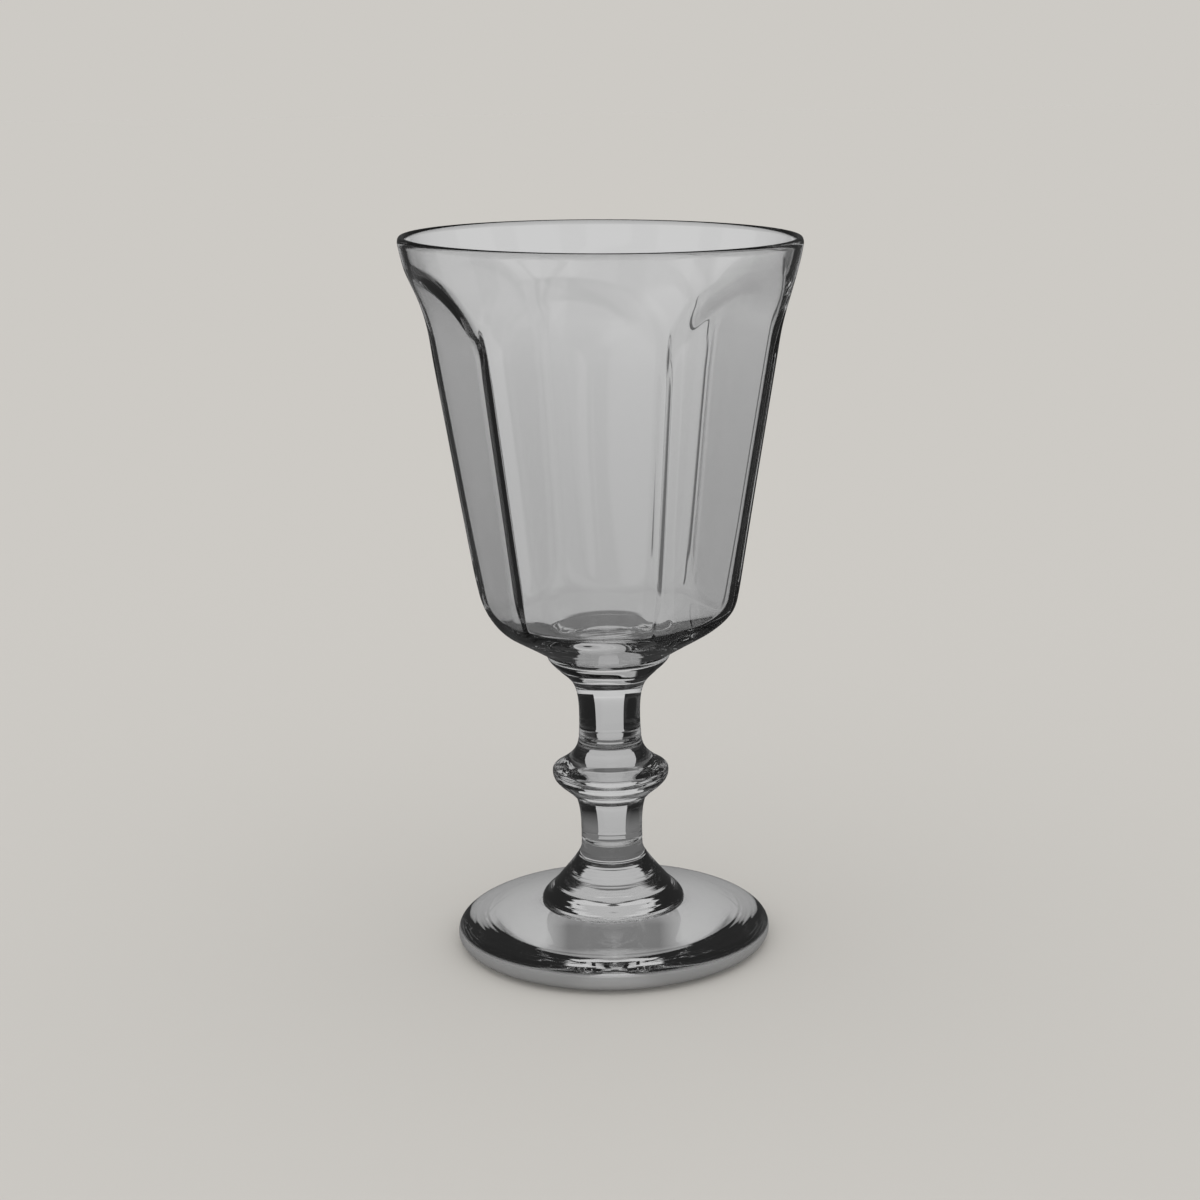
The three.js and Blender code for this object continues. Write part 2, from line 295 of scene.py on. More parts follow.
def make_clear_glass():
    """Fire-polished clear glass, with slow ream, faint handling marks and a frosted band round the foot.

    The marks are a noise, ramped to a small roughness. On the band the glass is dull and less clear, and
    darker with painted shade.
    """
    material, tree, output = new_material("clear_glass")
    place = tree.nodes.new("ShaderNodeTexCoord").outputs["Object"]
    shader = tree.nodes.new("ShaderNodeBsdfPrincipled")
    shader.inputs["IOR"].default_value = GLASS_INDEX
    tree.links.new(ream(tree, place), shader.inputs["Normal"])
    handled = noise(tree, place, HANDLED_SCALE, HANDLED_DETAIL)
    marks = ramp(tree, handled, *HANDLED_RANGE, 0.0, HANDLED_DULLNESS)
    ground_and_shade = ground_and_shade_band(tree)
    # The band's darker tint is painted shade.
    tint = tree.nodes.new("ShaderNodeMix")
    tint.data_type = "RGBA"
    tint.inputs["A"].default_value = grey(GLASS_TINT)
    tint.inputs["B"].default_value = grey(GROUND_SHADE_TINT)
    tree.links.new(ground_and_shade, tint.inputs["Factor"])
    tree.links.new(tint.outputs["Result"], shader.inputs["Base Color"])
    tree.links.new(fade(tree, ground_and_shade, 1.0, GROUND_CLEARNESS), shader.inputs["Transmission Weight"])
    tree.links.new(fade(tree, ground_and_shade, marks, GROUND_DULLNESS), shader.inputs["Roughness"])
    tree.links.new(shader.outputs["BSDF"], output.inputs["Surface"])
    return material


def make_fused_joint():
    """The face inside the glass where two gathers fused: light passes it unbent."""
    material, tree, output = new_material("fused_joint")
    shader = tree.nodes.new("ShaderNodeBsdfTransparent")
    tree.links.new(shader.outputs["BSDF"], output.inputs["Surface"])
    return material


clear_glass = make_clear_glass()
fused_joint = make_fused_joint()


def bend(start, pull_start, pull_end, end, steps=CURVE_STEPS):
    """Cubic curve: its four points weighted by the Bernstein polynomials of a parameter from 0 to 1."""
    t = np.linspace(0.0, 1.0, steps)[:, None]
    weights = np.hstack([(1 - t) ** 3, 3 * t * (1 - t) ** 2, 3 * t * t * (1 - t), t**3])
    return weights @ np.array([start, pull_start, pull_end, end], dtype=float)


def round_off(start, corner, end, steps):
    """Curve from start to end, tangent to both legs to the corner: its pulls lie two thirds along them."""
    start, corner, end = np.array(start, float), np.array(corner, float), np.array(end, float)
    return bend(start, start + (corner - start) * 2 / 3, end + (corner - end) * 2 / 3, end, steps)


def straight(start, end, steps):
    """Evenly spaced points on the line from start to end."""
    t = np.linspace(0.0, 1.0, steps)[:, None]
    return np.array(start, float) * (1 - t) + np.array(end, float) * t


def outline(*stretches):
    """Stretches of radius and height joined end to end, with each doubled point dropped."""
    return np.vstack([stretches[0]] + [stretch[1:] for stretch in stretches[1:]])


def smooth_step(low, high, value):
    """0 below low, 1 above high, and the cubic 3t2 - 2t3 between them."""
    t = np.clip((value - low) / (high - low), 0.0, 1.0)
    return t * t * (3 - 2 * t)


def smooth_fade(level, fade_range, height):
    """Smooth step of a height, over a range that is given from a level."""
    below, above = fade_range
    return smooth_step(level + below, level + above, height)


def soft_least(a, b, width):
    """The lesser of a and b, with the corner between them rounded by a parabola over the width."""
    share = np.clip(0.5 + 0.5 * (b - a) / width, 0.0, 1.0)
    return b + (a - b) * share - width * share * (1 - share)


def waves(rows, place):
    """Sum of sines of a place: each row gives a wave's rate, its size and its start."""
    return sum(size * np.sin(rate * place + start) for rate, size, start in rows)


def out_of_round(around, height):
    """Share by which the radius swells: sines round the axis that twist slowly with height."""
    rows = ROUNDNESS_WAVES
    return sum(size * np.sin(count * around + twist * height + start) for count, size, start, twist in rows)


def hand_worked(points):
    """Small unevenness of glass worked by hand, as a smooth shift of every point.

    The rim's plane slants by a cosine round the axis, the section is out of round by about a tenth of a
    millimetre at the rim, and the line where the neck meets the collar wanders by two sines.
    """
    x, y, z = points[..., 0], points[..., 1], points[..., 2]
    around = np.arctan2(y, x)
    slant = math.tan(math.radians(RIM_SLANT)) * smooth_step(bowl_top - RIM_SLANT_DEPTH, bowl_top, z)
    swell = 1 + out_of_round(around, z)
    near_collar = np.exp(-(((z - merese_low) / COLLAR_REACH) ** 2))
    wander = near_collar * waves(COLLAR_WAVES, around)
    return np.stack([x * swell, y * swell, z - slant * x + wander], axis=-1)


def weld(profile, *heights):
    """Shallow groove left where two gathers fused: a bell curve of WELD_DEPTH taken off the radius."""
    radius, height = profile.T
    for joint in heights:
        radius = radius - WELD_DEPTH * np.exp(-(((height - joint) / WELD_WIDTH) ** 2))
    return np.stack([radius, height], axis=-1)


def tool_rings(place):
    """Fine rings that a tool leaves in hot glass: a shift by three sines of the place along a profile."""
    return TOOL_MARK * waves(TOOL_WAVES, place)


def tooled(profile, low, high):
    """Tool rings added to the radius of an upright skin, faded in above low and out below high."""
    radius, height = profile.T
    fade_in = smooth_step(low, low + TOOL_FADE_IN, height)
    fade_out = 1 - smooth_step(high - TOOL_FADE_OUT, high, height)
    return np.stack([radius + tool_rings(height) * (fade_in * fade_out), height], axis=-1)


def add_object(name, data):
    """New object in the scene."""
    thing = bpy.data.objects.new(name, data)
    bpy.context.collection.objects.link(thing)
    return thing


def ring_mesh(name, points):
    """Closed mesh of rings of points: four-sided faces between rings, and a fan to a pole at each end.

    The first and the last ring have no radius, so each is one point.
    """
    rings, segments = points.shape[:2]
    inner = points[1:-1].reshape(-1, 3)
    first_pole, last_pole = len(inner), len(inner) + 1
    vertices = np.vstack([inner, points[0, :1], points[-1, :1]])
    index = np.arange(len(inner)).reshape(rings - 2, segments)
    beside = np.roll(index, -1, axis=1)
    quads = np.stack([index[:-1], beside[:-1], beside[1:], index[1:]], axis=-1)
    first_fan = np.stack([np.full(segments, first_pole), beside[0], index[0]], axis=-1)
    last_fan = np.stack([index[-1], beside[-1], np.full(segments, last_pole)], axis=-1)
    faces = quads.reshape(-1, 4).tolist() + first_fan.tolist() + last_fan.tolist()
    mesh = bpy.data.meshes.new(name)
    mesh.from_pydata(vertices, [], faces)
    mesh.polygons.foreach_set("use_smooth", np.ones(len(faces), dtype=bool))
    return mesh


def mark_joints(mesh, rings, segments, joints):
    """Flat joint faces get the joint's material, and sharp edges round them.

    Each face is given by its first and last ring. One of the two is a pole, and the other is its edge.
    """
    is_joint = np.zeros(rings - 1, dtype=bool)
    is_seam = np.zeros(rings, dtype=bool)
    for first, last in joints:
        is_joint[first:last] = True
        is_seam[last if first == 0 else first] = True
    slots = np.concatenate([np.repeat(is_joint[1:-1], segments), np.repeat(is_joint[[0, -1]], segments)])
    mesh.polygons.foreach_set("material_index", slots.astype(np.int32))
    ends = np.empty(len(mesh.edges) * 2, dtype=np.int32)
    mesh.edges.foreach_get("vertices", ends)
    ring_of_point = np.append(np.repeat(np.arange(1, rings - 1), segments), [0, rings - 1])
    ring_of_end = ring_of_point[ends.reshape(-1, 2)]
    sharp = (ring_of_end[:, 0] == ring_of_end[:, 1]) & is_seam[ring_of_end[:, 0]]
    mesh.attributes.new("sharp_edge", "BOOLEAN", "EDGE").data.foreach_set("value", sharp)


def ring_piece(name, node, radius, height, azimuth, joints):
    """Piece of glass in place of a solid, from the radius, height and azimuth of each point of its rings."""
    points = np.stack([radius * np.sin(azimuth), -radius * np.cos(azimuth), height], axis=-1)
    mesh = ring_mesh(name, hand_worked(points) * MM)
    mark_joints(mesh, *radius.shape, joints)
    mesh.materials.append(clear_glass)
    mesh.materials.append(fused_joint)
    piece = add_object(name, mesh)
    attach(piece, "root")
    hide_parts(node)


def turned_piece(name, node, skin, low_joint=True, high_joint=True):
    """Round piece: its skin's profile is closed to the axis at both ends and turned about the axis."""
    stretches = [skin]
    if low_joint:
        stretches.insert(0, straight((0, skin[0, 1]), skin[0], JOINT_RINGS))
    if high_joint:
        stretches.append(straight(skin[-1], (0, skin[-1, 1]), JOINT_RINGS))
    profile = outline(*stretches)
    azimuth = np.linspace(0.0, 2 * math.pi, STEM_SEGMENTS, endpoint=False)
    radius = np.repeat(profile[:, :1], STEM_SEGMENTS, axis=1)
    height = np.repeat(profile[:, 1:], STEM_SEGMENTS, axis=1)
    last = len(profile) - 1
    joints = [(0, JOINT_RINGS - 1)] * low_joint + [(last - JOINT_RINGS + 1, last)] * high_joint
    ring_piece(name, node, radius, height, azimuth, joints)


def make_foot():
    """Foot: hollowed underside, flat rest ring, rounded edge and a sloping top up to the bell's skirt.

    The hollow's depth falls straight from the middle to the ring, times a hyperbolic tangent that rounds it.
    """
    edge_radius = foot_radius - FOOT_EDGE_ROUND
    edge_height = FOOT_BELLY_HEIGHT + FOOT_EDGE_RISE
    slope = (foot_top - edge_height) / (edge_radius - skirt_radius)
    edge_pull = FOOT_PULL * FOOT_EDGE_ROUND
    rest_outer = foot_radius - FOOT_UNDERCUT
    rest_inner = rest_outer - REST_RING_WIDTH
    out = np.linspace(0.0, 1.0, CURVE_STEPS)
    fullness = np.tanh(KICK_EDGE_FULLNESS + KICK_FULLNESS * (1 - out))
    kick = np.stack([out * rest_inner, KICK_DEPTH * (1 - out) * fullness], axis=-1)
    skin = outline(
        kick,
        straight((rest_inner, 0), (rest_outer, 0), REST_RING_STEPS),
        bend(
            (rest_outer, 0),
            (rest_outer + FOOT_PULL * FOOT_UNDERCUT, 0),
            (foot_radius, (1 - FOOT_PULL) * FOOT_BELLY_HEIGHT),
            (foot_radius, FOOT_BELLY_HEIGHT),
        ),
        bend(
            (foot_radius, FOOT_BELLY_HEIGHT),
            (foot_radius, FOOT_BELLY_HEIGHT + FOOT_PULL * FOOT_EDGE_RISE),
            (edge_radius + edge_pull, edge_height - edge_pull * slope),
            (edge_radius, edge_height),
            4 * CURVE_STEPS,
        ),
        straight((edge_radius, edge_height), (skirt_radius, foot_top - JOINT_GAP), CURVE_STEPS),
    )
    radius, height = skin.T
    above_belly = smooth_step(FOOT_BELLY_HEIGHT, edge_height, height)
    on_edge = above_belly * smooth_step(edge_radius, edge_radius + EDGE_TOOL_FADE, radius)
    skin = np.stack([radius, height + tool_rings(radius / EDGE_TOOL_SPACING) * on_edge], axis=-1)
    turned_piece("foot_glass", "foot", skin, low_joint=False)


def make_stem_base():
    """Bell: a full round skirt on the foot, a shoulder line, and a flank that sweeps up into the shank."""
    shoulder_radius = skirt_radius - SKIRT_SPREAD
    shoulder = base_low + BELL_SHOULDER_HEIGHT
    flank = base_top - shoulder
    skirt_low_pull, skirt_high_pull = SKIRT_PULLS
    flank_low_pull, flank_high_pull = FLANK_PULLS
    skin = outline(
        straight((skirt_radius, base_low), (skirt_radius, base_low + SKIRT_EDGE), SKIRT_EDGE_STEPS),
        bend(
            (skirt_radius, base_low + SKIRT_EDGE),
            (skirt_radius, base_low + skirt_low_pull * BELL_SHOULDER_HEIGHT),
            (
                shoulder_radius + (1 - skirt_high_pull) * SKIRT_SPREAD,
                base_low + skirt_high_pull * BELL_SHOULDER_HEIGHT,
            ),
            (shoulder_radius, shoulder),
            3 * CURVE_STEPS,
        ),
        bend(
            (shoulder_radius, shoulder),
            (SHANK_RADIUS, shoulder + flank_low_pull * flank),
            (SHANK_RADIUS, shoulder + flank_high_pull * flank),
            (SHANK_RADIUS + SHANK_FOOT_SPREAD, base_top - JOINT_GAP),
            6 * CURVE_STEPS,
        ),
    )
    turned_piece("stem_base_glass", "stem_base", weld(tooled(skin, base_low, base_top), base_top))


def make_lower_stem():
    """Short shank: one slow curve from the bell up to the knop."""
    length = shank_top - shank_low
    low_pull, high_pull = SHANK_PULLS
    skin = bend(
        (SHANK_RADIUS + SHANK_FOOT_SPREAD, shank_low),
        (SHANK_RADIUS, shank_low + low_pull * length),
        (SHANK_RADIUS, shank_low + high_pull * length),
        (shank_head_radius, shank_top - JOINT_GAP),
        3 * CURVE_STEPS,
    )
    turned_piece("lower_stem_glass", "lower_stem", weld(skin, shank_low, shank_top))


def make_knop():
    """Knop: an underside that swells to the widest line, a tight shoulder and a hollow slope to the neck."""
    belly = knop_low + KNOP_BELLY_HEIGHT
    shoulder = belly + KNOP_SHOULDER_RISE
    shoulder_radius = knop_radius - KNOP_SHOULDER_ROUND
    neck_radius = NECK_RADIUS + NECK_FOOT_SPREAD
    slope = knop_top - shoulder
    swell = knop_radius - shank_head_radius
    reach = shoulder_radius - neck_radius
    swell_out, swell_low, swell_high = KNOP_SWELL_PULLS
    slope_low_out, slope_high_out = KNOP_SLOPE_OUT_PULLS
    slope_low, slope_high = KNOP_SLOPE_UP_PULLS
    skin = outline(
        bend(
            (shank_head_radius, knop_low),
            (shank_head_radius + swell_out * swell, knop_low + swell_low * KNOP_BELLY_HEIGHT),
            (knop_radius, knop_low + swell_high * KNOP_BELLY_HEIGHT),
            (knop_radius, belly),
            2 * CURVE_STEPS,
        ),
        round_off(
            (knop_radius, belly),
            (knop_radius, belly + KNOP_SHOULDER_PULL * KNOP_SHOULDER_RISE),
            (shoulder_radius, shoulder),
            KNOP_SHOULDER_STEPS,
        ),
        bend(
            (shoulder_radius, shoulder),
            (neck_radius + slope_low_out * reach, shoulder + slope_low * slope),
            (neck_radius + slope_high_out * reach, shoulder + slope_high * slope),
            (neck_radius, knop_top - JOINT_GAP),
            2 * CURVE_STEPS,
        ),
    )
    turned_piece("knop_glass", "knop", weld(tooled(skin, knop_low, knop_top), knop_low, knop_top))


def make_upper_stem():
    """Neck: a waist above the knop, then a flare out to the collar."""
    waist = neck_low + NECK_WAIST_HEIGHT
    rise = neck_top - waist
    reach = neck_head_radius - NECK_RADIUS
    flare_low, flare_out, flare_high = NECK_FLARE_PULLS
    skin = outline(
        round_off(
            (NECK_RADIUS + NECK_FOOT_SPREAD, neck_low),
            (NECK_RADIUS, neck_low + NECK_WAIST_PULL * NECK_WAIST_HEIGHT),
            (NECK_RADIUS, waist),
            2 * CURVE_STEPS,
        ),
        bend(
            (NECK_RADIUS, waist),
            (NECK_RADIUS, waist + flare_low * rise),
            (NECK_RADIUS + flare_out * reach, waist + flare_high * rise),
            (neck_head_radius, neck_top - JOINT_GAP),
            3 * CURVE_STEPS,
        ),
    )
    turned_piece("upper_stem_glass", "upper_stem", weld(skin, neck_low, neck_top))


def make_merese():
    """Collar: it spreads from the neck to a short upright edge under the bowl."""
    edge = merese_top - MERESE_EDGE
    skin = outline(
        round_off(
            (neck_head_radius, merese_low),
            (merese_radius, merese_low + MERESE_PULL * (edge - merese_low)),
            (merese_radius, edge),
            2 * CURVE_STEPS,
        ),
        straight((merese_radius, edge), (merese_radius, merese_top - JOINT_GAP), MERESE_EDGE_STEPS),
    )
    turned_piece("merese_glass", "merese", weld(skin, merese_low))


# Heights of the bowl's floor, wall, flare and lip, and the wall's lean
bowl_floor_z = bowl_low + FLOOR_THICKNESS
wall_z = bowl_low + WALL_FOOT_HEIGHT
flare_z = bowl_top - FLARE_HEIGHT
lip_z = bowl_top - LIP_HEIGHT
flare_radius = rim_radius - FLARE_SPREAD
wall_lean = (flare_radius - WALL_FOOT_RADIUS) / (flare_z - wall_z)


def flare(start_radius, end_radius, steps):
    """The wall sweeps out to the lip by a cubic curve that has the wall's lean at both of its ends."""
    rise = lip_z - flare_z
    low_pull, high_pull = BOWL_FLARE_PULLS
    return bend(
        (start_radius, flare_z),
        (start_radius + low_pull * rise * wall_lean, flare_z + low_pull * rise),
        (end_radius - high_pull * rise * wall_lean, lip_z - high_pull * rise),
        (end_radius, lip_z),
        steps,
    )


def panel_distance(height, depth):
    """Distance of a panel's face from the axis: a leaning flat, then a circular cove that sweeps out.

    depth moves the face in, square to itself. The flat leaves a ridge of RIDGE_WIDTH on the round blank.
    """
    def flat_at(radius):
        return radius * math.cos(math.pi / PANELS - math.asin(RIDGE_WIDTH / 2 / radius))

    low, high = flat_at(WALL_FOOT_RADIUS), flat_at(flare_radius)
    lean = (high - low) / (flare_z - wall_z)
    tilt = math.atan(lean)
    cove_z = bowl_top - COVE_BELOW_RIM
    cove_distance = low + lean * (cove_z - wall_z)
    centre_distance = cove_distance + COVE_RADIUS * math.cos(tilt)
    centre_z = cove_z - COVE_RADIUS * math.sin(tilt)
    radius = COVE_RADIUS + depth
    start_z = centre_z + radius * math.sin(tilt)
    start_distance = centre_distance - radius * math.cos(tilt)
    flat = start_distance + lean * (height - start_z)
    cove = centre_distance - np.sqrt(np.maximum(radius**2 - (height - centre_z) ** 2, 0.0))
    return np.where(height < start_z, flat, cove)


def panel_azimuth():
    """Angles round the bowl, and each one's offset from the middle of its panel.

    The offset is partly even and partly a sine, which crowds the points towards the ridges.
    """
    u = np.linspace(-1.0, 1.0, PANEL_SEGMENTS, endpoint=False)
    crowded = np.sin(u * math.pi / 2)
    offset = (math.pi / PANELS) * (PANEL_EVENNESS * u + (1 - PANEL_EVENNESS) * crowded)
    middle = np.arange(PANELS)[:, None] * (2 * math.pi / PANELS)
    return (middle + offset).ravel(), np.tile(offset, PANELS)


def panelled(profile, offset, depth, softness):
    """Radius of a round profile softly limited by the panels' faces.

    A panel's limit at an angle off its middle is its distance from the axis over the cosine of that angle.
    """
    round_radius, height = profile[:, :1], profile[:, 1:]
    return soft_least(round_radius, panel_distance(height, depth) / np.cos(offset), softness[:, None])


def bowl_outside():
    """Profile of the round blank outside: joint face, turn up into the wall, wall, flare, half the lip."""
    turn_reach = WALL_FOOT_RADIUS - merese_radius
    lip_middle = rim_radius - LIP_THICKNESS / 2
    turn_out, turn_low, turn_high = BOWL_TURN_PULLS
    return outline(
        straight((0, bowl_low), (merese_radius, bowl_low), JOINT_RINGS),
        bend(
            (merese_radius, bowl_low),
            (merese_radius + turn_out * turn_reach, bowl_low + turn_low * WALL_FOOT_HEIGHT),
            (
                WALL_FOOT_RADIUS - (1 - turn_high) * WALL_FOOT_HEIGHT * wall_lean,
                bowl_low + turn_high * WALL_FOOT_HEIGHT,
            ),
            (WALL_FOOT_RADIUS, wall_z),
            BOWL_TURN_STEPS,
        ),
        straight((WALL_FOOT_RADIUS, wall_z), (flare_radius, flare_z), WALL_STEPS),
        flare(flare_radius, rim_radius, FLARE_STEPS),
        round_off((rim_radius, lip_z), (rim_radius, bowl_top), (lip_middle, bowl_top), LIP_STEPS),
    )


def bowl_inside():
    """Profile of the round blank inside: half the lip, flare, wall, rounded corner, flat floor."""
    lip_middle = rim_radius - LIP_THICKNESS / 2
    mouth_radius = rim_radius - LIP_THICKNESS
    inner_flare_radius = flare_radius - WALL_AT_RIDGE
    inner_wall_z = bowl_floor_z + FLOOR_ROUND_HEIGHT
    inner_wall_radius = WALL_FOOT_RADIUS - WALL_AT_RIDGE + (inner_wall_z - wall_z) * wall_lean
    corner_reach = inner_wall_radius - FLOOR_FLAT_RADIUS
    down_pull, out_pull = BOWL_FLOOR_PULLS
    corner_drop = down_pull * FLOOR_ROUND_HEIGHT
    return outline(
        round_off((lip_middle, bowl_top), (mouth_radius, bowl_top), (mouth_radius, lip_z), LIP_STEPS),
        flare(inner_flare_radius, mouth_radius, INNER_FLARE_STEPS)[::-1],
        straight((inner_flare_radius, flare_z), (inner_wall_radius, inner_wall_z), INNER_WALL_STEPS),
        bend(
            (inner_wall_radius, inner_wall_z),
            (inner_wall_radius - corner_drop * wall_lean, inner_wall_z - corner_drop),
            (FLOOR_FLAT_RADIUS + out_pull * corner_reach, bowl_floor_z + FLOOR_EDGE_RISE),
            (FLOOR_FLAT_RADIUS, bowl_floor_z),
            FLOOR_ROUND_STEPS,
        ),
        straight((FLOOR_FLAT_RADIUS, bowl_floor_z), (0, bowl_floor_z), FLOOR_STEPS),
    )


def make_bowl():
    """Bowl: a round flared blank, outside and inside, whose radius is softly limited by six flat panels.

    Outside, the ridges are crisp along the wall and soft above and below it. Inside, all of them are soft.
    """
    outside, inside = bowl_outside(), bowl_inside()
    outer_height, inner_height = outside[:, 1], inside[:, 1]
    on_arch = smooth_fade(flare_z, ARCH_FADE, outer_height)
    above_foot = smooth_fade(wall_z, WALL_FOOT_FADE, outer_height)
    above_floor = smooth_fade(bowl_floor_z, FLOOR_FADE, inner_height)
    outside_soft = RIDGE_SOFT + (ARCH_SOFT - RIDGE_SOFT) * (on_arch + 1 - above_foot)
    inside_soft = INSIDE_SOFT + (FLOOR_SOFT - INSIDE_SOFT) * (1 - above_floor)
    azimuth, offset = panel_azimuth()
    outer = panelled(outside, offset, 0.0, outside_soft)
    inner = panelled(inside, offset, WALL_AT_PANEL, inside_soft)
    radius = np.vstack([outer, inner[1:]])
    height = np.repeat(np.concatenate([outer_height, inner_height[1:]])[:, None], len(azimuth), axis=1)
    ring_piece("bowl_glass", "bowl", radius, height, azimuth, [(0, JOINT_RINGS - 1)])


# Camera
VIEW_AZIMUTH = 9.4
CAMERA_DISTANCE = 0.5055
CAMERA_HEIGHT = 0.2011
CAMERA_PITCH = 13.54
CAMERA_YAW = 0.187
CAMERA_ROLL = -1.16
LENS = 70.0
SENSOR = 36.0

# Colour of the floor and the backdrop, as the camera sees them
BACKDROP = (0.610, 0.591, 0.558)

# Levels that the studio shows the glass: the floor, the sky, the flags and what the glass mirrors. On the
# floor and the flags they glow as painted light and shade
UNDER_FOOT = 0.45
UNDER_BELL = 0.53
FOOT_SHADE = 0.13
STEM_SHADE = 0.225
BELL_SHADE = 0.14
SIDE_LIGHT = 0.3
NEAR_SHADE = 0.085
# Level of the strip of painted shade that draws the ridges
RIDGE_SHADE = 0.14
OPEN_FLOOR = (0.45, 0.65)
SKY = 0.6
SKY_TOP = 0.06
# Paler foot of the flags: painted light
FLAG_FOOT = 0.17
MIRRORED = 0.07
DIM = 0.016
DARK = 0.014
KEPT = 0.8

# Soft edges between levels on the floor, in metres from the axis
BELL_SHADE_EDGE = (0.018, 0.028)
BELL_LIGHT_EDGE = (0.020, 0.028)
BELL_GAP_EDGE = (0.022, 0.028)
UNDER_FOOT_EDGE = (0.041, 0.045)
FOOT_SHADE_EDGE = (0.050, 0.066)
NEAR_EDGE = (0.084, 0.092)
FAR_EDGE = (0.15, 0.25)
OPEN_FLOOR_REACH = (0.05, 1.4)

# The stem's shade under the foot: half width, start and end, in metres from the axis
STEM_SHADE_SIDE = (0.0100, 0.0150)
STEM_SHADE_START = (-0.008, 0.004)
STEM_SHADE_END = (0.0175, 0.0235)

# Edges in degrees round the axis, in metres of height, and in the upward part of a direction
SIDE_LIGHT_EDGE = (22.0, 30.0)
# Strip of painted shade that draws the ridges, in degrees to the right of straight behind
RIDGE_SHADE_START = (14.0, 16.0)
RIDGE_SHADE_END = (20.0, 24.0)
FLAG_FOOT_EDGE = (0.0145, 0.0265)
SKY_EDGE = (0.72, 0.86)

# Gaps that light turned inside the glass goes through: one behind the stem and a row in front, in degrees
GAP_HALF_WIDTH = 17.0
FRONT_MIDDLE = 175.0
FRONT_GAPS = 5
FRONT_SHARE = 44.0
FRONT_HALF_WIDTH = 14.0
CORE_HALF_WIDTH = 12.0
FOOT_GAP_HALF_WIDTH = 3.2
GAP_SOFT_EDGE = 0.8

# Flags: upright strips round the stem
FLAG_GAP_HALF_WIDTH = 15.0
FLAG_RADIUS = 0.040
FLAG_HEIGHT = 0.058
FLAG_LIFT = 0.004
FLAG_STEPS = 25

# Floor
STUDIO_FLOOR_HALF = 6.0
STUDIO_FLOOR_LEVEL = -0.00005

# Counts that tell kinds of light apart: turns back inside the glass, and skins of the glass passed
TURNED = 1
SCATTERED = 3
BOWL_SKINS = 3
HALF_COUNT = 0.5

# Bounces
MOST_BOUNCES = 32
GLOSSY_BOUNCES = 16
CLEAR_BOUNCES = 48


def make_camera():
    """Camera at the photograph's height, distance and tilt, with its small sideways aim and roll."""
    data = bpy.data.cameras.new("camera")
    data.lens = LENS
    data.sensor_width = SENSOR
    camera = add_object("camera", data)
    around = math.radians(VIEW_AZIMUTH)
    place = Vector((math.sin(around), -math.cos(around), 0.0)) * CAMERA_DISTANCE
    place.z = CAMERA_HEIGHT
    aim = Matrix.Rotation(around + math.radians(CAMERA_YAW), 4, "Z")
    tilt = Matrix.Rotation(math.radians(90 - CAMERA_PITCH), 4, "X")
    roll = Matrix.Rotation(math.radians(CAMERA_ROLL), 4, "Z")
    camera.matrix_world = Matrix.Translation(place) @ aim @ tilt @ roll
    bpy.context.scene.camera = camera


def light_path(tree, output):
    """What is known of the light's way to the place that is shaded."""
    return tree.nodes.new("ShaderNodeLightPath").outputs[output]


def from_glass(tree):
    """1 for light that the glass mirrored or let through."""
    return calc(tree, "MAXIMUM", light_path(tree, "Is Glossy Ray"), light_path(tree, "Is Transmission Ray"))


def turns(tree, least):
    """1 for light that was turned back inside the glass at least so many times."""
    return calc(tree, "GREATER_THAN", light_path(tree, "Glossy Depth"), least - HALF_COUNT)


def through_bowl(tree):
    """1 for light that passed more skins of the glass than one wall has, as on its way through the bowl."""
    return calc(tree, "GREATER_THAN", light_path(tree, "Transmission Depth"), BOWL_SKINS - HALF_COUNT)


def mirrored(tree, light):
    """What the glass mirrors on its outside is one even grey, in place of the level seen through it."""
    outside = calc(tree, "LESS_THAN", light_path(tree, "Transmission Depth"), HALF_COUNT)
    return fade(tree, outside, light, MIRRORED)


def in_radians(degrees):
    """Two angles in degrees, as radians."""
    return [math.radians(angle) for angle in degrees]


def from_behind(tree, x, y, middle):
    """Angle, 0 to half a turn, off a direction that is middle degrees leftwards from behind the stem."""
    azimuth = calc(tree, "ARCTAN2", y, x)
    turned = calc(tree, "SUBTRACT", azimuth, math.radians(90 + VIEW_AZIMUTH + middle))
    return calc(tree, "PINGPONG", turned, math.pi)


def within(tree, angle, half_width):
    """1 where an angle is less than a half width in degrees and 0 where it is more, with a soft edge."""
    return falls(tree, angle, in_radians((half_width - GAP_SOFT_EDGE, half_width + GAP_SOFT_EDGE)))


def in_core(tree, x, y, half_width):
    """1 in a narrow gap straight behind the stem and in one straight in front of it, and 0 beside them."""
    off_middle = calc(tree, "PINGPONG", from_behind(tree, x, y, 0.0), math.pi / 2)
    return within(tree, off_middle, half_width)


def between_flags(tree, x, y):
    """1 in the gap behind the stem and in the row of gaps in front of it, and 0 beside them."""
    off_front = from_behind(tree, x, y, FRONT_MIDDLE)
    off_gap = calc(tree, "PINGPONG", off_front, math.radians(FRONT_SHARE / 2))
    row_end = FRONT_SHARE * (FRONT_GAPS // 2) + FRONT_HALF_WIDTH
    in_row = within(tree, off_front, row_end)
    front = calc(tree, "MULTIPLY", within(tree, off_gap, FRONT_HALF_WIDTH), in_row)
    behind = within(tree, from_behind(tree, x, y, 0.0), GAP_HALF_WIDTH)
    return calc(tree, "MAXIMUM", behind, front)


def seen_in_gap(tree, x, y, light):
    """Level in a gap: turned light loses a part of it, and scattered light finds it only in the core."""
    once = fade(tree, turns(tree, TURNED), light, calc(tree, "MULTIPLY", light, KEPT))
    often = fade(tree, in_core(tree, x, y, CORE_HALF_WIDTH), DIM, light)
    return fade(tree, turns(tree, SCATTERED), once, often)


